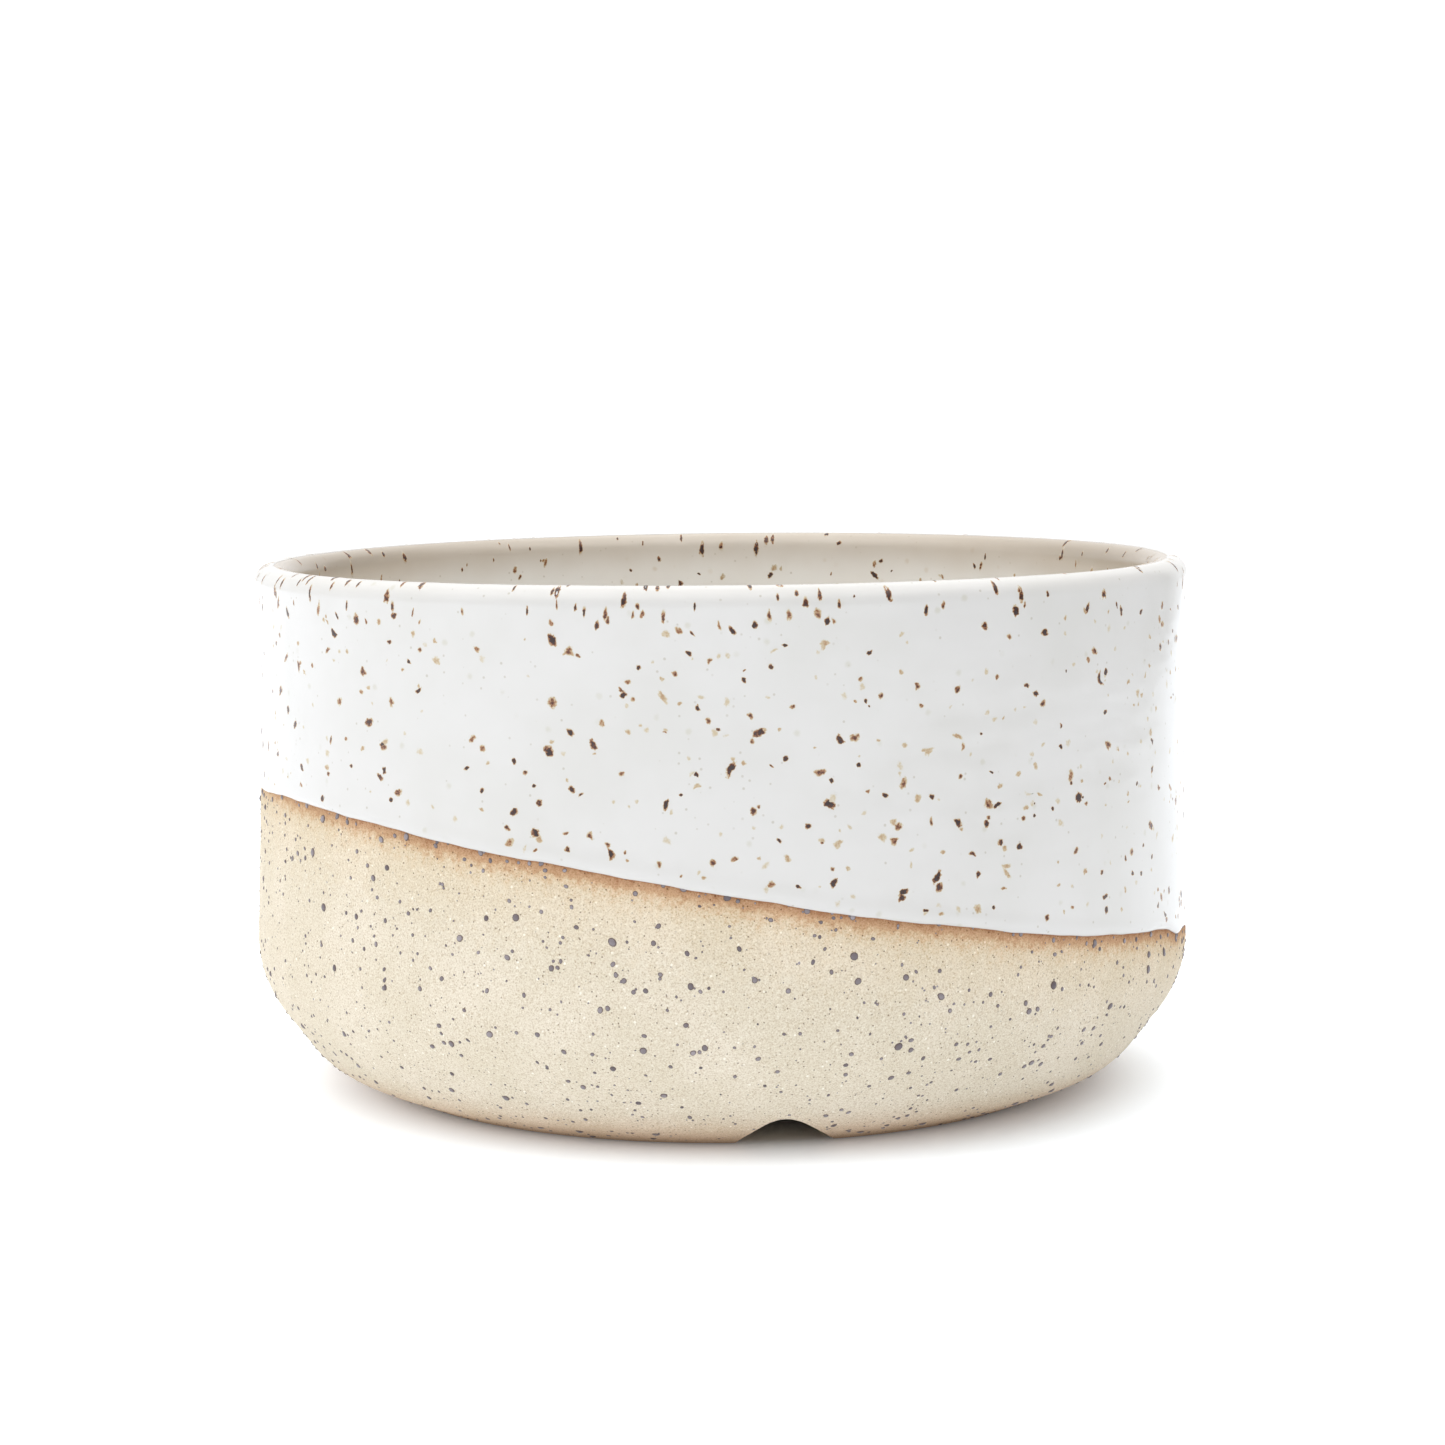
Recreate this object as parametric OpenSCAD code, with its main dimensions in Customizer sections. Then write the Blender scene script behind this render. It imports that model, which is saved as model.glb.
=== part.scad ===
// Matcha bowl: a thrown stoneware body with a trimmed, notched foot ring, a glaze poured inside
// and a second glaze dipped over the lip at a slant. The table is z = 0 and the front is -Y.

/* [Body] */
// Diameter of the bare clay across the shoulder, before that corner is rounded
body_d = 121.2; // [100:0.1:145]
// Height of the bare clay, from the table to the top of the lip
body_h = 67.2; // [55:0.1:82]
// Clay thickness at the lip, which is rounded all the way over
lip_t = 3.8; // [3:0.1:4.8]
// Clay thickness of the wall just above the shoulder
wall_t = 5.4; // [4.4:0.1:7]
// Clay thickness of the floor at the middle
floor_t = 4.7; // [3.8:0.1:6]
// How far the wall draws in between the shoulder and the waist
waist_in = 1; // [0.3:0.1:2]
// How far the wall flares out again between the waist and the lip
lip_flare = 0.2; // [0:0.1:1]
// Height from the waist up to the top of the lip
waist_drop = 21; // [15:0.5:26]

/* [Inside] */
// Radius of the sweep between the inner wall and the floor
well_r = 13; // [8:0.5:16]
// How far the floor rises from its flat middle to the wall
floor_rise = 0.9; // [0.3:0.1:1.5]
// Radius of the floor's flat middle
floor_flat_r = 20; // [12:1:24]

/* [Belly] */
// How far the foot stands in from the widest part of the wall
foot_inset = 17.2; // [13:0.1:21]
// Width of the trimmed bevel, from the foot to the belly
bevel_w = 8.9; // [7:0.1:11]
// Slope of the bevel above the table
bevel_slope = 22; // [16:1:28]
// Slope of the belly above the table
belly_slope = 53; // [45:1:58]
// Radius where the bevel turns into the belly
bevel_r = 11; // [6:0.5:12]
// Radius where the belly turns into the wall
shoulder_r = 14.5; // [8:0.5:16]

/* [Foot ring] */
// Width of the ring's flat face, which meets the table
ring_w = 5.8; // [4.5:0.1:8]
// Height of the recess inside the ring
recess_h = 5.25; // [4.6:0.05:6.5]
// How far the recess narrows from the table to its ceiling
recess_draft = 1.2; // [0.4:0.1:2]
// Radius between the recess's side and its ceiling
recess_r = 2; // [1:0.1:2.5]
// Width of the arched notch at the table
notch_w = 11.3; // [9:0.1:14]
// How far the notch's crown stays below the recess's ceiling
notch_land = 0.4; // [0.2:0.1:1]
// Turn of the notch from the front towards the right
notch_turn = 9; // [0:1:360]

/* [Glaze] */
// Thickness of each glaze coat
glaze_t = 0.45; // [0.3:0.05:0.8]
// Height of the dip line where its plane crosses the bowl's axis
dip_z = 30; // [26:0.5:40]
// Slant of the dip line
dip_tilt = 9.8; // [0:0.1:12]
// Direction in which the dip line runs lowest, from the right towards the back
dip_turn = 14; // [0:1:360]

/* [Hidden] */
// Largest turn of one facet along a rounded stretch of the section
arc_step = 6;
// How far cutting solids run past what they cut
past = 5;

body_r = body_d / 2;
foot_r = body_r - foot_inset;
ring_in_r = foot_r - ring_w;
waist_z = body_h - waist_drop;
waist_r = body_r - waist_in;
lip_out_r = waist_r + lip_flare;
lip_in_r = lip_out_r - lip_t;
// Narrow flat left on top of the lip between its two arcs
lip_flat = 0.1;
lip_round = (lip_t - lip_flat) / 2;
floor_z = recess_h + floor_t;
notch_h = recess_h - notch_land;
notch_r = (notch_w * notch_w / 4 + notch_h * notch_h) / (2 * notch_h);

function unit(v) = v / norm(v);
function turned(v, a) = [v[0] * cos(a) - v[1] * sin(a), v[0] * sin(a) + v[1] * cos(a)];

// The corner b between a and c, rounded to radius r, as points along its arc
function rounded(a, b, c, r) =
    let (p = unit(a - b), q = unit(c - b), half = acos(p * q) / 2)
    let (centre = b + unit(p + q) * r / sin(half))
    let (start = b + p * r / tan(half) - centre, bend = 180 - 2 * half)
    let (side = cross(p, q) > 0 ? -1 : 1, n = max(3, ceil(bend / arc_step)))
    [for (i = [0:n]) centre + turned(start, side * bend * i / n)];

// To the right of the way from a to b
function right_of(a, b) = let (d = unit(b - a)) [d[1], -d[0]];

// The open line moved to its right by d, so that each stretch keeps its own slope
function pushed(line, d) = let (last = len(line) - 1) [
    for (i = [0:last])
        let (before = right_of(line[max(i - 1, 0)], line[max(i, 1)]))
        let (after = right_of(line[min(i, last - 1)], line[min(i + 1, last)]))
        line[i] + d * (before + after) / (1 + before * after)
];

function reversed(line) = [for (i = [len(line) - 1:-1:0]) line[i]];

// Corners of the section, as [radius, height], from the foot up the outside, over the lip and down
// the inside to the middle of the floor
foot_edge = [foot_r, 0];
bevel_top = foot_edge + bevel_w * [1, tan(bevel_slope)];
shoulder = [body_r, bevel_top[1] + (body_r - bevel_top[0]) * tan(belly_slope)];
waist = [waist_r, waist_z];
lip_out = [lip_out_r, body_h];
lip_in = [lip_in_r, body_h];
well = [body_r - wall_t, floor_z + floor_rise];
flat_edge = [floor_flat_r, floor_z];
floor_mid = [0, floor_z];
// Radii of the slow bends at the waist and round the floor's flat middle
waist_round = 300;
floor_round = 150;

outside = concat(
    [foot_edge],
    rounded(foot_edge, bevel_top, shoulder, bevel_r),
    rounded(bevel_top, shoulder, waist, shoulder_r),
    rounded(shoulder, waist, lip_out, waist_round),
    rounded(waist, lip_out, lip_in, lip_round)
);
inside = concat(
    rounded(lip_out, lip_in, well, lip_round),
    rounded(lip_in, well, flat_edge, well_r),
    rounded(well, flat_edge, floor_mid, floor_round),
    [floor_mid]
);
skin = concat(outside, inside);
glazed = pushed(skin, glaze_t);
// The two coats meet on top of the lip, where its inner arc begins
meet = len(outside);

recess_edge = [ring_in_r, 0];
recess_top = [ring_in_r - recess_draft, recess_h];
recess_mid = [0, recess_h];
underside = concat([recess_mid], rounded(recess_mid, recess_top, recess_edge, recess_r), [recess_edge]);

// The coat between two points of the section's line
module coat(first, last) {
    back = reversed([for (i = [first:last]) glazed[i]]);
    rotate_extrude($fn = 180)
        polygon(concat([for (i = [first:last]) skin[i]], back));
}

module foot_notch() {
    rotate([0, 0, notch_turn - 90])
        translate([0, 0, notch_h - notch_r])
            rotate([0, 90, 0])
                cylinder(r = notch_r, h = body_r + past, $fn = 90);
}

// Everything above the slanted line of the dip
module dipped_side() {
    reach = 2 * (body_r + body_h);
    translate([0, 0, dip_z])
        rotate([0, 0, dip_turn])
            rotate([0, dip_tilt, 0])
                translate([-reach, -reach, 0])
                    cube([2 * reach, 2 * reach, reach]);
}

module clay_body() {
    color([0.87, 0.81, 0.70])
        difference() {
            rotate_extrude($fn = 180)
                polygon(concat(skin, underside));
            foot_notch();
        }
}

module liner_glaze() {
    color([0.86, 0.83, 0.78])
        coat(meet, len(skin) - 1);
}

module dip_glaze() {
    color([0.95, 0.95, 0.94])
        intersection() {
            coat(0, meet);
            dipped_side();
        }
}

clay_body();
liner_glaze();
dip_glaze();
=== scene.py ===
import math

import bpy
import numpy as np
from mathutils import Matrix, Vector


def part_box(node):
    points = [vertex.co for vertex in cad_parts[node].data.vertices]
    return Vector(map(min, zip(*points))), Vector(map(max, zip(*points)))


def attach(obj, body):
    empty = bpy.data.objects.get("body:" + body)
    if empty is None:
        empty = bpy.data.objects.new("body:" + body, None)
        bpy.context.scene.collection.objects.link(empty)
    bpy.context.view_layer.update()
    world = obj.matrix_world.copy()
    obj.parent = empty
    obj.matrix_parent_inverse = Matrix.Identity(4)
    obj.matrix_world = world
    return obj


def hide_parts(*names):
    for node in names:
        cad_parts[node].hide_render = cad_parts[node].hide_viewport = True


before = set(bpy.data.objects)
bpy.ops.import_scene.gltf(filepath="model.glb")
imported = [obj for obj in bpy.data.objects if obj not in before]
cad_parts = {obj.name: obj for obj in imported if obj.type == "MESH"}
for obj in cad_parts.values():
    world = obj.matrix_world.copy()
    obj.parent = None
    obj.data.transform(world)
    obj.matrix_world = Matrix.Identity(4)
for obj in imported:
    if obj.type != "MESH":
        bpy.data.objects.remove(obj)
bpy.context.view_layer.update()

# ---------------------------------------------------------------------------------------------
# Clay body
# One lump of speckled stoneware, thrown on the wheel. At leather hardness the belly and the foot
# ring were trimmed, and one arched notch was cut through the ring. It stands on that ring.

mm = 0.001
body_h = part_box("clay_body")[1].z
floor_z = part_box("liner_glaze")[0].z
glaze_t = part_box("dip_glaze")[1].z - body_h

# Corners of the turned section as (radius, height, rounding), from the middle of the recess out
# to the foot, up the outside, over the lip and down to the middle of the floor
recess_h = 5.25 * mm
ring_in_r, foot_r = 37.6 * mm, 43.4 * mm
bevel_top = (52.3 * mm, 3.6 * mm)
shoulder = (60.6 * mm, 14.6 * mm)
waist = (59.6 * mm, body_h - 21 * mm)
lip_out_r, lip_in_r = 59.8 * mm, 56 * mm
lip_round = 1.85 * mm
well = (55.2 * mm, floor_z + 0.9 * mm)
corners = [
    (0, recess_h, 0),
    (ring_in_r - 1.2 * mm, recess_h, 2 * mm),
    (ring_in_r, 0, 0.7 * mm),
    (foot_r, 0, 1.6 * mm),
    (*bevel_top, 11 * mm),
    (*shoulder, 14.5 * mm),
    (*waist, 300 * mm),
    (lip_out_r, body_h, lip_round),
    (lip_in_r, body_h, lip_round),
    (*well, 13 * mm),
    (20 * mm, floor_z, 150 * mm),
    (0, floor_z, 0),
]


def rounded_line(corners, turn_step=math.radians(2)):
    """The line through the corners, each one rounded with an arc of its own radius."""
    points = [np.array(corners[0][:2])]
    for before, corner, after in zip(corners, corners[1:], corners[2:]):
        at = np.array(corner[:2])
        back, on = (np.array(p[:2]) - at for p in (before, after))
        back, on = back / np.linalg.norm(back), on / np.linalg.norm(on)
        half = math.acos(back @ on) / 2
        middle = (back + on) / np.linalg.norm(back + on)
        centre = at + middle * corner[2] / math.sin(half)
        start = at + back * corner[2] / math.tan(half) - centre
        side = -math.copysign(1, back[0] * on[1] - back[1] * on[0])
        bend = math.pi - 2 * half
        for a in np.linspace(0, side * bend, max(4, math.ceil(bend / turn_step))):
            spun = [[math.cos(a), -math.sin(a)], [math.sin(a), math.cos(a)]]
            points.append(centre + spun @ start)
    return np.array(points + [np.array(corners[-1][:2])])


section = rounded_line(corners)
along = np.concatenate([[0], np.cumsum(np.linalg.norm(np.diff(section, axis=0), axis=1))])
step = 0.05 * mm
fine_along = np.arange(0, along[-1], step)
fine = np.stack([np.interp(fine_along, along, section[:, i]) for i in (0, 1)], 1)
slope = np.gradient(fine, axis=0)
slope /= np.linalg.norm(slope, axis=1)[:, None]
outward = np.stack([slope[:, 1], -slope[:, 0]], 1)

# Places along the section: the foot's face, the top of the lip, the foot of the lip's inner arc, and
# the middle of the floor
foot_at = fine_along[np.argmax((fine[:, 0] > foot_r - 2 * mm) & (fine[:, 1] < 0.01 * mm))]
lip_at = fine_along[np.argmax(fine[:, 1])]
meet_at = fine_along[(fine_along > lip_at) & (fine[:, 1] < body_h - lip_round)][0]
end_at = fine_along[-1]
outside = (fine_along > foot_at + 2 * mm) & (fine_along < lip_at)


def up_to(height):
    """How far along the section the outside wall reaches this height."""
    return np.interp(height, fine[outside, 1], fine_along[outside])


# Slight unevenness that the whole body has from the wheel: the lip is a little oval and leans
lip_oval = 0.16 * mm
lip_lean = math.radians(0.33)


def on_bowl(s, turn, lift=0):
    """Points on the bowl, s along its section and turned from the front towards the right."""
    radius = np.interp(s, fine_along, fine[:, 0]) + lift * np.interp(s, fine_along, outward[:, 0])
    height = np.interp(s, fine_along, fine[:, 1]) + lift * np.interp(s, fine_along, outward[:, 1])
    radius = np.where((s <= 0) | (s >= end_at), 0, radius)
    rise = np.clip(height / body_h, 0, 1)
    radius = radius * (1 + lip_oval / lip_out_r * rise * np.cos(2 * turn - 1.1))
    x, y = radius * np.sin(turn), -radius * np.cos(turn)
    height = height + rise**2 * (x * math.tan(lip_lean) + 0.1 * mm * np.cos(2 * turn + 0.4))
    return np.stack(np.broadcast_arrays(x, y, height), -1)


# The dipped glaze ends along this slanted plane, a little uneven. It sags where it starts to fall
# at the left, and at the right it swells up before one short run.
dip_z, wall_r = 30 * mm, 60 * mm
dip_tilt, dip_turn = math.radians(9.8), math.radians(14)
sag_turn, swell_turn, run_turn = math.radians(-82), math.radians(62.5), math.radians(70.5)


def ripple(turn, seed, waves):
    """A closed wavy curve round the bowl, the same on every run."""
    draw = np.random.default_rng(seed)
    return sum(
        size * np.cos(count * turn + draw.uniform(0, 2 * math.pi)) for count, size in waves
    )


def dip_line(turn):
    """Height of the glaze's edge."""
    fall = np.sin(turn) * math.cos(dip_turn) - np.cos(turn) * math.sin(dip_turn)
    level = dip_z - wall_r * math.tan(dip_tilt) * fall
    wave = ripple(turn, 3, [(5, 0.05), (9, 0.06), (16, 0.06), (31, 0.04), (57, 0.025), (96, 0.015)])
    sag = 1.2 * np.exp(-(((turn - sag_turn) / 0.28) ** 2))
    swell = 0.5 * np.exp(-(((turn - swell_turn) / 0.19) ** 2))
    run = 0.8 * np.exp(-(((turn - run_turn) / 0.049) ** 2))
    return level + (wave - sag + swell - run) * mm


# The notch is a low arch cut out through the ring, a little to the right of the front. Its cut was
# held slightly askew, so the arch shifts sideways as it goes in
notch_turn = math.radians(9)
notch_h, notch_w, notch_soft = 4.9 * mm, 11.6 * mm, 0.45 * mm
notch_skew, notch_true_at = 0.16, 46.7 * mm


def notched(points):
    """Lifts the underside to the notch's arch or the table wherever those are higher."""
    forward = points[..., 0] * math.sin(notch_turn) - points[..., 1] * math.cos(notch_turn)
    across = points[..., 0] * math.cos(notch_turn) + points[..., 1] * math.sin(notch_turn)
    across = across + notch_skew * (forward - notch_true_at)
    arch = notch_h * (1 - (2 * across / notch_w) ** 2)
    arch = np.where(forward > 10 * mm, arch, -1)
    height = points[..., 2]
    near = np.clip(notch_soft - np.abs(height - arch), 0, None) / notch_soft
    carved = points.copy()
    carved[..., 2] = np.maximum(np.maximum(height, arch) + near**2 * notch_soft / 4, 0)
    return carved


def new_piece(name, points, faces, attributes):
    """A smooth piece of these points and faces, with one value a point for each attribute."""
    mesh = bpy.data.meshes.new(name)
    mesh.from_pydata(points.reshape(-1, 3).tolist(), [], faces)
    for label, values in attributes.items():
        layer = mesh.attributes.new(label, "FLOAT", "POINT")
        layer.data.foreach_set("value", values.ravel().astype(np.float32))
    mesh.shade_smooth()
    piece = bpy.data.objects.new(name, mesh)
    bpy.context.scene.collection.objects.link(piece)
    return piece


def ring_mesh(name, points, attributes, open_rows=True):
    """Rows of points round the axis. The first and last are capped, or else joined to each other."""
    rows, columns = points.shape[:2]
    grid = np.arange(rows * columns).reshape(rows, columns)
    lower, upper = (grid[:-1], grid[1:]) if open_rows else (grid, np.roll(grid, -1, 0))
    quads = np.stack([lower, np.roll(lower, -1, 1), np.roll(upper, -1, 1), upper], -1).reshape(-1, 4)
    faces = quads.tolist()
    if open_rows:
        first, last = grid[0], grid[-1]
        faces += [first[::-1].tolist(), last.tolist()]
    return new_piece(name, points, faces, attributes)


def stretch(*stops):
    """Values from stop to stop, each stretch evenly divided: start, (end, step), (end, step)..."""
    values = [stops[0]]
    for end, gap in stops[1:]:
        count = max(1, round((end - values[-1]) / gap))
        values += list(np.linspace(values[-1], end, count + 1)[1:])
    return np.array(values)


clay_rows = stretch(
    2 * mm, (33 * mm, 3.5 * mm), (foot_at - 4.5 * mm, 0.6 * mm), (foot_at + 3.5 * mm, 0.3 * mm),
    (up_to(20 * mm), 0.55 * mm), (up_to(43 * mm), 0.8 * mm), (lip_at - 4 * mm, 3 * mm),
    (meet_at, 0.8 * mm), (end_at - 2 * mm, 4 * mm),
)  # fmt: skip
clay_turns = stretch(
    notch_turn - math.radians(8), (notch_turn + math.radians(8), math.radians(0.12)),
    (notch_turn + math.radians(352), math.radians(0.8)),
)[:-1]  # fmt: skip
clay_s, clay_turn = np.meshgrid(clay_rows, clay_turns, indexing="ij")
trimming = ripple(clay_s / mm, 8, [(2.1, 0.010), (3.3, 0.008), (1.3, 0.012)]) * mm
trimming *= 1 + 0.5 * np.sin(3 * clay_turn + clay_s / (4 * mm))
clay_points = notched(on_bowl(clay_s, clay_turn, trimming))
below_glaze = dip_line(clay_turn) - clay_points[..., 2]
clay = ring_mesh("clay_body_thrown", clay_points, {"below_glaze": below_glaze})


class Socket:
    """One output of a node. Sums and products on it add Math nodes."""

    def __init__(self, finish, socket):
        self.finish, self.socket = finish, socket

    def maths(self, operation, *values):
        return self.finish.add("Math", {"operation": operation}, dict(enumerate(values)))

    def __add__(self, other):
        return self.maths("ADD", self, other)

    def __sub__(self, other):
        return self.maths("SUBTRACT", self, other)

    def __rsub__(self, other):
        return self.maths("SUBTRACT", other, self)

    def __mul__(self, other):
        return self.maths("MULTIPLY", self, other)

    def __truediv__(self, other):
        return self.maths("DIVIDE", self, other)

    __radd__, __rmul__ = __add__, __mul__

    def between(self, low, high):
        """0 below low, 1 above high and smooth between, or the other way round."""
        limits = {"Value": self, "From Min": low, "From Max": high}
        return self.finish.add("MapRange", {"interpolation_type": "SMOOTHSTEP"}, limits)


class Finish:
    """The nodes of one material, or of the world."""

    def __init__(self, owner):
        self.owner = owner
        owner.use_nodes = True
        self.tree = owner.node_tree
        self.tree.nodes.clear()

    def add(self, kind, settings, values, output=0):
        """A node of this kind: its settings first, then the values or links of its sockets."""
        node = self.tree.nodes.new("ShaderNode" + kind)
        for setting, value in settings.items():
            if setting == "stops":
                while len(node.color_ramp.elements) < len(value):
                    node.color_ramp.elements.new(1)
                for element, (place, tint) in zip(node.color_ramp.elements, value):
                    element.position, element.color = place, tint
            else:
                setattr(node, setting, value)
        for label, value in values.items():
            usable = [s for s in node.inputs if s.enabled]
            place = label if isinstance(label, int) else [s.name for s in usable].index(label)
            if isinstance(value, Socket):
                self.tree.links.new(value.socket, usable[place])
            else:
                usable[place].default_value = value
        usable = [s for s in node.outputs if s.enabled]
        if usable:
            named = isinstance(output, str)
            return Socket(self, node.outputs[output] if named else usable[output])

    def place(self, squeeze=(1, 1, 1)):
        """The bowl's own coordinates in millimetres, squeezed along its axes."""
        spot = self.add("TexCoord", {}, {}, "Object")
        scale = tuple(share / mm for share in squeeze)
        return self.add("VectorMath", {"operation": "MULTIPLY"}, {0: spot, 1: scale})

    def noise(self, spot, size, detail=2, roughness=0.5):
        """Cloudy values round 0.5, of this size in millimetres."""
        values = {"Vector": spot, "Scale": 1 / size, "Detail": detail, "Roughness": roughness}
        return self.add("TexNoise", {}, values)

    def cells(self, spot, size, output="Distance"):
        """Scattered points this many millimetres apart."""
        return self.add("TexVoronoi", {}, {"Vector": spot, "Scale": 1 / size}, output)

    def blend(self, share, first, second, way="MIX"):
        """From the first colour to the second."""
        settings = {"data_type": "RGBA", "blend_type": way}
        return self.add("Mix", settings, {"Factor": share, "A": first, "B": second})

    def surface(self, values):
        """Ends the material in one Principled shader."""
        shader = self.add("BsdfPrincipled", {}, values)
        self.add("OutputMaterial", {}, {"Surface": shader})


def paint(red, green, blue):
    """A colour given as it would be mixed on a screen, 0 to 255."""
    return tuple(
        c / 12.92 if c <= 0.04045 else ((c + 0.055) / 1.055) ** 2.4
        for c in (red / 255, green / 255, blue / 255)
    ) + (1.0,)


stoneware = Finish(bpy.data.materials.new("bare_stoneware"))
spot = stoneware.place()
under = stoneware.add("Attribute", {"attribute_name": "below_glaze"}, {}, "Fac") / mm
mottle = stoneware.noise(spot, 9, 3)
colour = stoneware.blend(mottle.between(0.35, 0.7), paint(216, 206, 186), paint(222, 212, 194))
sand = stoneware.noise(spot, 0.2, 3, 0.7)
colour = stoneware.blend(sand.between(0.52, 0.34) * 0.7, colour, paint(180, 160, 132))
colour = stoneware.blend(sand.between(0.56, 0.7) * 0.7, colour, paint(240, 235, 222))
pale = stoneware.cells(spot, 1.6).between(0.12, 0.06)
colour = stoneware.blend(pale * 0.7, colour, paint(246, 242, 232))
grain_pick = stoneware.add("SeparateColor", {}, {0: stoneware.cells(spot, 0.62, "Color")})
grain = stoneware.cells(spot, 0.62).between(0.2, 0.12) * grain_pick.between(0.35, 0.75)
colour = stoneware.blend(grain * 0.8, colour, paint(112, 92, 76))
flash_wave = stoneware.noise(spot, 0.9, 5, 0.75)
flash_at = (under + (flash_wave - 0.5) * (under * 2 + 1.6)) / 12
stops = [
    (0.0, paint(188, 144, 118)), (0.02, paint(208, 170, 143)), (0.08, paint(224, 192, 166)),
    (0.13, paint(241, 222, 203)), (0.2, paint(248, 239, 227)), (0.33, paint(252, 248, 242)),
    (0.9, paint(255, 255, 255)),
]  # fmt: skip
flash = stoneware.add("ValToRGB", {"stops": stops}, {0: flash_at})
colour = stoneware.blend(1.0, colour, flash, "MULTIPLY")
# Darker and browner toward the foot, below about 8 mm: partly the foot's own toasted clay, partly
# painted shade near the floor
low = stoneware.add("SeparateXYZ", {}, {0: spot}, 2) + flash_wave * 3
colour = stoneware.blend(low.between(8.5, 1.5) * 0.8, colour, paint(236, 208, 188), "MULTIPLY")
rough_grain = stoneware.noise(spot, 0.3, 3, 0.75)
relief = rough_grain + sand * 0.6
bump = stoneware.add("Bump", {}, {"Strength": 0.4, "Distance": 0.1 * mm, "Height": relief})
rough = 0.86 + sand * 0.08
stoneware.surface({"Base Color": colour, "Roughness": rough, "Specular IOR Level": 0.12, "Normal": bump})
clay.data.materials.append(stoneware.owner)
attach(clay, "root")
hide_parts("clay_body")

# ---------------------------------------------------------------------------------------------
# Mineral beads
# Grains of ilmenite mixed into the clay. Where the clay is bare they melt in the kiln into small
# dark glassy beads that stand a little proud of the surface, the biggest along the glaze's edge.


def scatter(seed, per_cm2, first, last, keep):
    """Seeded random places (s, turn) evenly over the bowl between two places along its section."""
    draw = np.random.default_rng(seed)
    widest = 2 * math.pi * lip_out_r * (last - first)
    count = int(widest * 1e4 * per_cm2)
    s, turn = draw.uniform(first, last, count), draw.uniform(-math.pi, math.pi, count)
    chosen = draw.uniform(0, lip_out_r, count) < np.interp(s, fine_along, fine[:, 0])
    chosen &= keep(s, turn)
    return draw, s[chosen], turn[chosen]


def lenses(name, s, turn, rim, rings, crown, base, attributes):
    """Many small closed lenses lying on the bowl: rim points, rings of points inside, height."""
    count, segments = rim.shape[:2]
    share = np.array([0, *np.repeat(rings, segments), 0])
    local = np.zeros((count, len(share), 2))
    local[:, 1:-1] = np.concatenate([rim * ring for ring in rings], 1)
    lift = crown[:, None] * (1 - share**2)
    lift[:, -1] = -0.5 * crown - 0.02 * mm
    at_s = s[:, None] + local[..., 1]
    radius = np.interp(s, fine_along, fine[:, 0])[:, None]
    at_turn = turn[:, None] + local[..., 0] / radius
    points = on_bowl(at_s, at_turn, base(at_s, at_turn) + lift)
    tris = [(0, 1 + i, 1 + (i + 1) % segments) for i in range(segments)]
    for ring in range(1, len(rings)):
        a, b = 1 + (ring - 1) * segments, 1 + ring * segments
        for i in range(segments):
            j = (i + 1) % segments
            tris += [(a + i, b + i, b + j), (a + i, b + j, a + j)]
    last, edge = len(share) - 1, 1 + (len(rings) - 1) * segments
    tris += [(last, edge + (i + 1) % segments, edge + i) for i in range(segments)]
    tris = np.array(tris)[None] + len(share) * np.arange(count)[:, None, None]
    share[-1] = 1
    about = {label: values[:, None] for label, values in attributes.items()}
    about |= {"reach": share[None], "upward": local[..., 1] / mm}
    about = {label: np.broadcast_to(values, points.shape[:2]) for label, values in about.items()}
    piece = new_piece(name, points, tris.reshape(-1, 3).tolist(), about)
    piece.data.set_sharp_from_angle(angle=math.radians(70))
    return piece


def blot(draw, size, longer, lean, segments, wobble, taper=0, bow=0):
    """Rims of uneven round to long or bowed blots: count x segments x (across, along)."""
    count = len(size)
    angle = np.linspace(0, 2 * math.pi, segments, endpoint=False)[None, :]
    uneven = 1 + sum(
        wobble / lobes * draw.normal(0, 1, (count, 1))
        * np.cos(lobes * angle + draw.uniform(0, 2 * math.pi, (count, 1)))
        for lobes in (2, 3, 4)
    )
    long, short = np.sqrt(longer)[:, None], 1 / np.sqrt(longer)[:, None]
    narrow = 1 - np.broadcast_to(taper, count)[:, None] * np.sin(angle)
    u, v = np.cos(angle) * short * uneven * narrow, np.sin(angle) * long * uneven
    u = u + np.broadcast_to(bow, count)[:, None] * (v**2 - 0.5)
    turn = lean[:, None]
    rim = np.stack([u * np.cos(turn) - v * np.sin(turn), u * np.sin(turn) + v * np.cos(turn)], -1)
    return rim * size[:, None, None]


def bare(s, turn):
    points = on_bowl(s, turn)
    out = s > foot_at
    cut = np.abs(notched(points)[..., 2] - points[..., 2]) > 0.01 * mm
    standing = points[..., 2] < 0.4 * mm
    return ~cut & ~standing & (~out | (points[..., 2] < dip_line(turn) + 0.3 * mm))


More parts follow.
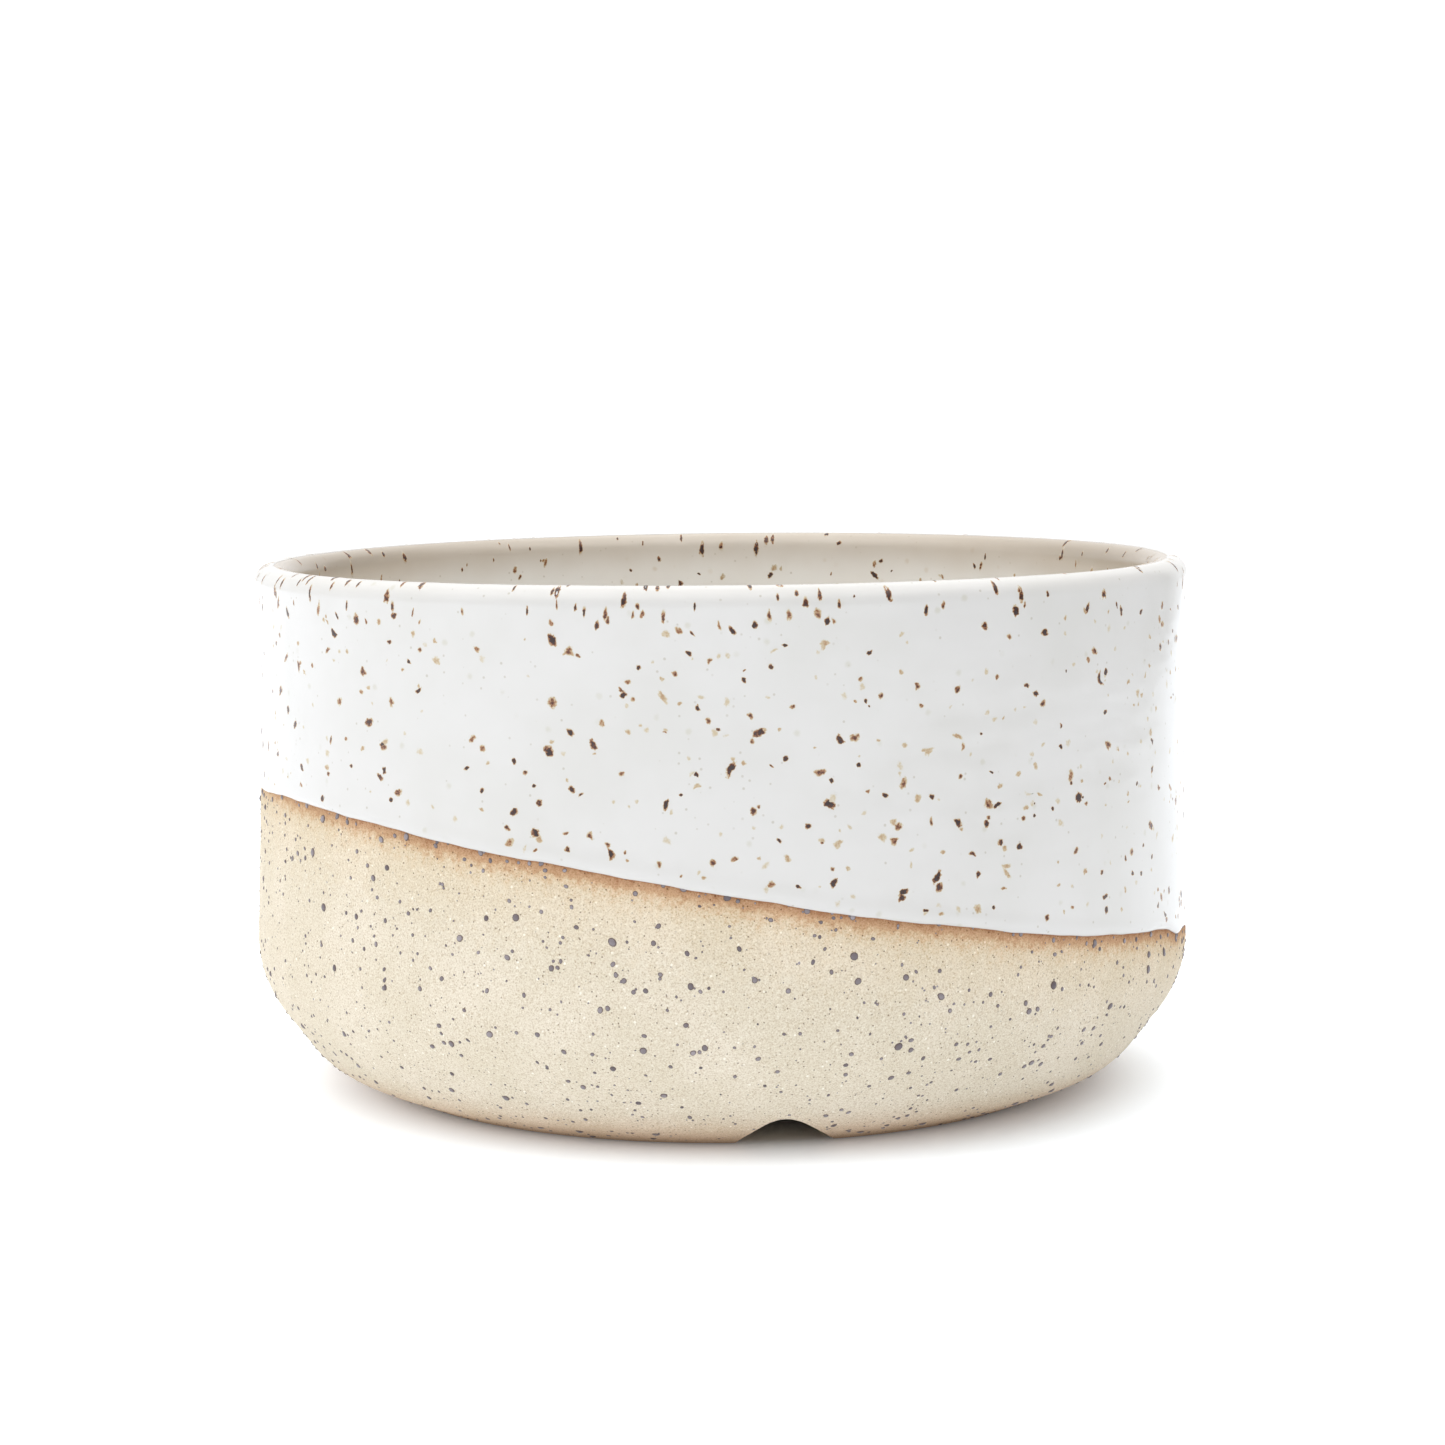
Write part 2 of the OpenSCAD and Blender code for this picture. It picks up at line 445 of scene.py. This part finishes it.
draw, bead_s, bead_turn = scatter(21, 18, 8 * mm, up_to(43 * mm), bare)
on_line = 110
beads_in_all = len(bead_s) + on_line
line_turn = draw.uniform(-math.pi, math.pi, on_line)
bead_s = np.append(bead_s, up_to(dip_line(line_turn)) - draw.uniform(-0.15, 0.9, on_line) * mm)
bead_turn = np.append(bead_turn, line_turn)
bead_size = np.clip(draw.lognormal(math.log(0.17), 0.5, beads_in_all), 0.08, 0.52) * mm
bead_size[-on_line:] = draw.uniform(0.16, 0.46, on_line) * mm
bead_long = draw.uniform(1, 1.35, beads_in_all)
bead_lean = draw.uniform(0, math.pi, beads_in_all)
bead_rim = blot(draw, bead_size, bead_long, bead_lean, 10, 0.07)
beads = lenses(
    "mineral_beads", bead_s, bead_turn, bead_rim, [0.6, 1], bead_size * 0.45,
    lambda s, turn: 0, {"dark": np.clip(draw.normal(0.5, 0.25, beads_in_all), 0, 1)},
)  # fmt: skip

bead_glass = Finish(bpy.data.materials.new("mineral_bead_glass"))
spot = bead_glass.place()
dark = bead_glass.add("Attribute", {"attribute_name": "dark"}, {}, "Fac")
reach = bead_glass.add("Attribute", {"attribute_name": "reach"}, {}, "Fac")
cloud = bead_glass.noise(spot, 0.3, 2)
colour = bead_glass.blend(dark, paint(148, 140, 144), paint(94, 84, 88))
colour = bead_glass.blend((reach + cloud * 0.3).between(0.75, 1.1), colour, paint(92, 74, 66))
bead_glass.surface({"Base Color": colour, "Roughness": 0.3 + cloud * 0.3})
beads.data.materials.append(bead_glass.owner)
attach(beads, "root")

# ---------------------------------------------------------------------------------------------
# Dipped glaze
# A satin white glaze. The fired bowl was dipped in it mouth down and at a slant, so it covers the
# lip and ends along a slanted line, where it draws up into a low round edge on the bare clay.

edge_w = 0.8 * mm
glaze_sink = 0.06 * mm


def dip_end(turn):
    """Where the coat ends, along the section: on top of the lip."""
    return lip_at + (0.25 + ripple(turn, 12, [(7, 0.06), (19, 0.05), (43, 0.03)])) * mm


def ease(share):
    """0 to 1 with a soft start and a soft end."""
    return share**2 * (3 - 2 * share)


def dip_lift(s, turn):
    """Thickness of the coat."""
    rise, left = s - up_to(dip_line(turn)), dip_end(turn) - s
    round_up = np.sqrt(np.clip(1 - (1 - np.clip(rise / edge_w, 0, 1)) ** 2, 0, 1))
    roll = 0.1 * np.exp(-(((rise - 1.1 * mm) / (0.8 * mm)) ** 2))
    taper = ease(np.clip(left / (0.9 * mm), 0, 1))
    return (glaze_t + glaze_sink) * round_up * (1 + roll) * (0.75 + 0.25 * taper) - glaze_sink


dip_turns = np.linspace(-math.pi, math.pi, 900, endpoint=False)[None, :]
edge_at, seam_at = up_to(dip_line(dip_turns)), dip_end(dip_turns)
near_edge = edge_at + np.array([[0, 0.04, 0.1, 0.2, 0.35, 0.55, 0.8, 1.1, 1.5, 2, 2.6, 3.4]]).T * mm
lip_start = lip_at - 4.5 * mm
up_wall = near_edge[-1] + np.linspace(0, 1, 36)[1:, None] * (lip_start - near_edge[-1])
over_lip = lip_start + np.linspace(0, 1, 24)[1:, None] * (seam_at - lip_start)
dip_s = np.concatenate([near_edge, up_wall, over_lip])
back_s = edge_at + np.linspace(1, 0, 24)[:-1, None] * (seam_at - edge_at)
dip_outer = on_bowl(dip_s, dip_turns, dip_lift(dip_s, dip_turns))
dip_inner = on_bowl(back_s, dip_turns, -glaze_sink)
dip = ring_mesh("dip_glaze_coat", np.concatenate([dip_outer, dip_inner]), {}, open_rows=False)


def glaze_colour(finish, spot, tint):
    """The glaze's own colour: cloudy, with faint ghosts of specks that stayed deep in it."""
    white, thin, ghost = tint
    cloud = finish.noise(spot, 14, 3)
    colour = finish.blend(cloud.between(0.35, 0.7), white, thin)
    bent = finish.noise(spot, 0.8, 2)
    pick = finish.add("SeparateColor", {}, {0: finish.cells(spot, 3.1, "Color")})
    deep = (finish.cells(spot, 3.1) + bent * 0.16).between(0.26, 0.12) * pick.between(0.35, 0.7)
    colour = finish.blend(deep * 0.5, colour, ghost)
    small = finish.add("SeparateColor", {}, {0: finish.cells(spot, 1.3, "Color")}, 1)
    dust = (finish.cells(spot, 1.3) + bent * 0.1).between(0.21, 0.12) * small.between(0.5, 0.8)
    return finish.blend(dust * 0.45, colour, paint(160, 150, 128))


def glaze_bump(finish, spot):
    """The glaze's skin: low waves and a fine orange peel."""
    long_way = finish.place((0.35, 0.35, 1))
    relief = finish.noise(long_way, 3, 1) + finish.noise(spot, 0.9, 1) * 0.1
    return finish.add("Bump", {}, {"Strength": 0.25, "Distance": 0.25 * mm, "Height": relief})


dip_tints = (paint(210, 208, 205), paint(206, 204, 200), paint(190, 186, 170))
dip_white = Finish(bpy.data.materials.new("dipped_white_glaze"))
spot = dip_white.place()
dip_white.surface(
    {
        "Base Color": glaze_colour(dip_white, spot, dip_tints),
        "Roughness": 0.16,
        "Normal": glaze_bump(dip_white, spot),
    }
)
dip.data.materials.append(dip_white.owner)
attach(dip, "root")
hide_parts("dip_glaze")

# ---------------------------------------------------------------------------------------------
# Liner glaze
# A warmer coat of the same glaze, poured in and out again before the dip. It covers the floor and
# the inner wall, and runs under the dipped coat at the lip.

liner_from = lip_at - 0.7 * mm
liner_turns = np.linspace(-math.pi, math.pi, 480, endpoint=False)
liner_rows = stretch(
    liner_from, (meet_at + 3 * mm, 0.3 * mm), (end_at - 60 * mm, 1.2 * mm),
    (end_at - 35 * mm, 0.6 * mm), (end_at - 1.5 * mm, 1.4 * mm),
)  # fmt: skip


def liner_lift(s, turn):
    """Thickness of the coat, with faint ridges from the thrower's fingers rising round the wall."""
    ridge = 0.05 * mm * np.sin((s / (5.5 * mm) + turn / (2 * math.pi)) * 2 * math.pi)
    fade = np.clip((s - meet_at) / (8 * mm), 0, 1) * np.clip((end_at - s) / (15 * mm), 0, 1)
    hidden = ease(np.clip((dip_end(turn) + 0.9 * mm - s) / (1.2 * mm), 0, 1))
    return glaze_t + ridge * fade - hidden * 0.2 * mm


def down_from_lip(s, turn):
    """Depth below the lip, counted less at the front and sides, so that the tan under the lip, partly
    painted shade, reaches further down there.
    """
    return s - lip_at - np.minimum(4.5 * (1 + np.cos(turn)), 3) * mm


liner_s, liner_turn = np.meshgrid(liner_rows, liner_turns, indexing="ij")
liner_outer = on_bowl(liner_s, liner_turn, liner_lift(liner_s, liner_turn))
under_s, under_turn = np.meshgrid(liner_rows[::-6], liner_turns, indexing="ij")
liner_inner = on_bowl(under_s, under_turn, -glaze_sink)
liner_points = np.concatenate([liner_inner, liner_outer])
below_lip = down_from_lip(np.concatenate([under_s, liner_s]), np.concatenate([under_turn, liner_turn]))
liner = ring_mesh("liner_glaze_coat", liner_points, {"below_lip": below_lip})

liner_tints = (paint(230, 228, 223), paint(226, 222, 215), paint(204, 188, 166))


def liner_colour(finish, spot):
    """The glaze is tan just under the lip, tannest on its crest, and whiter further down. The tan is
    partly the thin coat and partly painted shade; on the crest it is painted shade against the light
    from above.
    """
    deep = finish.add("Attribute", {"attribute_name": "below_lip"}, {}, "Fac") / mm
    wave = finish.noise(spot, 6, 2)
    # How much of the tan, which is partly painted shade, lies here: most at the lip, none from 9 mm down
    thin = (deep + wave * 1.5).between(9, 0)
    ground = glaze_colour(finish, spot, liner_tints)
    # Painted shade: the tan is darkest on the crest, where the light from above falls strongest
    tan = finish.blend(deep.between(2, -0.5), paint(182, 167, 148), paint(160, 145, 126))
    return finish.blend(thin * 0.84, ground, tan)


liner_beige = Finish(bpy.data.materials.new("poured_beige_glaze"))
spot = liner_beige.place()
liner_beige.surface(
    {
        "Base Color": liner_colour(liner_beige, spot),
        "Roughness": 0.2,
        "Normal": glaze_bump(liner_beige, spot),
    }
)
liner.data.materials.append(liner_beige.owner)
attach(liner, "root")
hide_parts("liner_glaze")

# ---------------------------------------------------------------------------------------------
# Iron specks
# Iron grains from the clay that melt up through the glaze. Each is a flat brown blot with a dark
# middle, and those on the lip, where the glaze runs thin, are drawn out downhill.


def speck_finish(name, ground_of):
    """Glaze with iron in it: the glaze's own colour at a blot's edge, dark in its middle."""
    iron_glaze = Finish(bpy.data.materials.new(name))
    spot = iron_glaze.place()
    reach = iron_glaze.add("Attribute", {"attribute_name": "reach"}, {}, "Fac")
    iron = iron_glaze.add("Attribute", {"attribute_name": "iron"}, {}, "Fac")
    upward = iron_glaze.add("Attribute", {"attribute_name": "upward"}, {}, "Fac")
    tail = iron_glaze.add("Attribute", {"attribute_name": "tail"}, {}, "Fac")
    bent = iron_glaze.noise(spot, 0.33, 2)
    inside = (reach + (bent - 0.5) * 0.9).between(0.98, 0.3) * reach.between(1, 0.9)
    patch = iron_glaze.noise(spot, 0.3, 2).between(0.3, 0.65) * 0.5 + 0.62
    strength = inside * iron * patch * (upward * tail).between(1.2, -0.4) * 1.12
    stops = [
        (0.0, paint(206, 200, 184)), (0.14, paint(194, 180, 154)), (0.3, paint(174, 146, 112)),
        (0.46, paint(142, 96, 66)), (0.62, paint(88, 52, 38)), (0.85, paint(44, 27, 25)),
    ]  # fmt: skip
    tint = iron_glaze.add("ValToRGB", {"stops": stops}, {0: strength})
    colour = iron_glaze.blend(strength.between(0, 0.14), ground_of(iron_glaze, spot), tint)
    bump = glaze_bump(iron_glaze, spot)
    rough = 0.18 + strength * 0.12
    iron_glaze.surface({"Base Color": colour, "Roughness": rough, "Normal": bump})
    return iron_glaze.owner


def specks(name, seed, per_cm2, first, last, keep, lift, material):
    draw, s, turn = scatter(seed, per_cm2, first, last, keep)
    count = len(s)
    size = np.clip(draw.lognormal(math.log(0.46), 0.32, count), 0.18, 0.8) * mm
    near_lip = np.clip((7.5 * mm - np.abs(s - lip_at)) / (4 * mm), 0, 1)
    longer = draw.lognormal(math.log(1.3), 0.28, count) + near_lip * draw.uniform(0.2, 2.6, count)
    lean = draw.uniform(-math.pi / 2, math.pi / 2, count) * (1 - 0.94 * near_lip)
    iron = draw.choice([0.15, 0.32, 0.62, 1], count, p=[0.26, 0.22, 0.22, 0.3])
    iron = np.maximum(iron, 0.75 * near_lip)
    iron = iron * draw.uniform(0.8, 1.15, count)
    size = size * np.clip(0.8 + 0.25 * iron, 0, 1)
    bow = (1 - near_lip) * draw.normal(0, 0.16, count)
    downhill = near_lip * np.sign(lip_at - s)
    tail = downhill * draw.uniform(0, 1.6, count) / (longer**0.5 * size / mm)
    rim = blot(draw, size, longer, lean, 12, 0.24, downhill * draw.uniform(0, 0.7, count), bow)
    crown = (0.01 + 0.04 * iron * near_lip) * mm
    about = {"iron": iron, "tail": tail, "below_lip": down_from_lip(s, turn)}
    piece = lenses(name, s, turn, rim, [0.55, 1], crown + 0.004 * mm, lift, about)
    piece.data.materials.append(material)
    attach(piece, "root")
    return piece


specks(
    "dip_glaze_specks", 5, 11, up_to(15 * mm), lip_at + 0.4 * mm,
    lambda s, turn: (s > up_to(dip_line(turn)) + 1.1 * mm) & (s < dip_end(turn) - 0.3 * mm),
    lambda s, turn: dip_lift(s, turn) + 0.002 * mm,
    speck_finish("dipped_white_glaze_iron", lambda finish, spot: glaze_colour(finish, spot, dip_tints)),
)  # fmt: skip
specks(
    "liner_glaze_specks", 6, 9.6, lip_at + 0.6 * mm, end_at - 3 * mm,
    lambda s, turn: s > dip_end(turn) + 0.7 * mm,
    lambda s, turn: liner_lift(s, turn) + 0.002 * mm,
    speck_finish("poured_beige_glaze_iron", liner_colour),
)  # fmt: skip

# ---------------------------------------------------------------------------------------------
# Studio
# A plain white floor that glows a little outside the foot, an even white sky that is brightest
# overhead, one large soft lamp at the left, and the camera a little above the lip.

left_x, right_x, front_y, back_y = -7.55, 0.45, -1.2, 6.8
floor_corners = [(left_x, front_y), (right_x, front_y), (right_x, back_y), (left_x, back_y)]
sheet = bpy.data.meshes.new("studio_floor")
sheet.from_pydata([(x, y, 0) for x, y in floor_corners], [], [(0, 1, 2, 3)])
floor = bpy.data.objects.new("studio_floor", sheet)
bpy.context.scene.collection.objects.link(floor)
card = Finish(bpy.data.materials.new("white_card"))
spot = card.place()
pale = card.blend(card.noise(spot, 3, 2), paint(239, 243, 248), paint(243, 247, 252))
# Painted light: the floor glows only from 41 mm out from the bowl's axis, so it stays dark under the
# foot and darker close beside it, and a painted shadow halves the glow to the right of the bowl
outwards = card.add("VectorMath", {"operation": "LENGTH"}, {0: spot})
shaded = card.add("SeparateXYZ", {}, {0: spot}, 0).between(5, 45) * outwards.between(110, 65)
share = outwards.between(41, 48.5) * (1 - shaded * 0.5)
lit = card.blend(share, (0, 0, 0, 1), paint(246, 250, 255))
card.surface({"Base Color": pale, "Roughness": 0.95, "Emission Color": lit, "Emission Strength": 0.29})
floor.data.materials.append(card.owner)

scene = bpy.context.scene
scene.view_settings.view_transform = "Standard"
scene.world = bpy.data.worlds.new("white_room")
room = Finish(scene.world)
toward = room.add("TexCoord", {}, {}, "Generated")
right = room.add("SeparateXYZ", {}, {0: toward}, 0)
back = room.add("SeparateXYZ", {}, {0: toward}, 1)
up = room.add("SeparateXYZ", {}, {0: toward}, 2)
wall = 1.06 - right.between(0.5, 0.66) * 0.5 - back.between(0.2, -0.7) * 0.52
glow = wall + up.between(0.4, 0.95) * (2.25 - wall)
sky = room.add("Background", {}, {"Color": (1, 1, 1, 1), "Strength": glow})
room.add("OutputWorld", {}, {"Surface": sky})

lamp = bpy.data.lights.new("soft_lamp_left", "AREA")
lamp.size, lamp.energy = 0.8, 0.65
soft_left = bpy.data.objects.new("soft_lamp_left", lamp)
soft_left.matrix_world = (
    Matrix.Rotation(math.radians(-62), 4, "Z")
    @ Matrix.Rotation(math.radians(50), 4, "X")
    @ Matrix.Translation((0, 0, 1.1))
)
scene.collection.objects.link(soft_left)

view = bpy.data.cameras.new("camera")
view.sensor_width, view.lens = 36, 83.744
camera = bpy.data.objects.new("camera", view)
camera.matrix_world = (
    Matrix.Translation((0.000169, -0.43695, 0.0931))
    @ Matrix.Rotation(math.pi / 2 - 0.1078, 4, "X")
    @ Matrix.Rotation(-0.0051, 4, "Z")
)
scene.collection.objects.link(camera)
scene.camera = camera
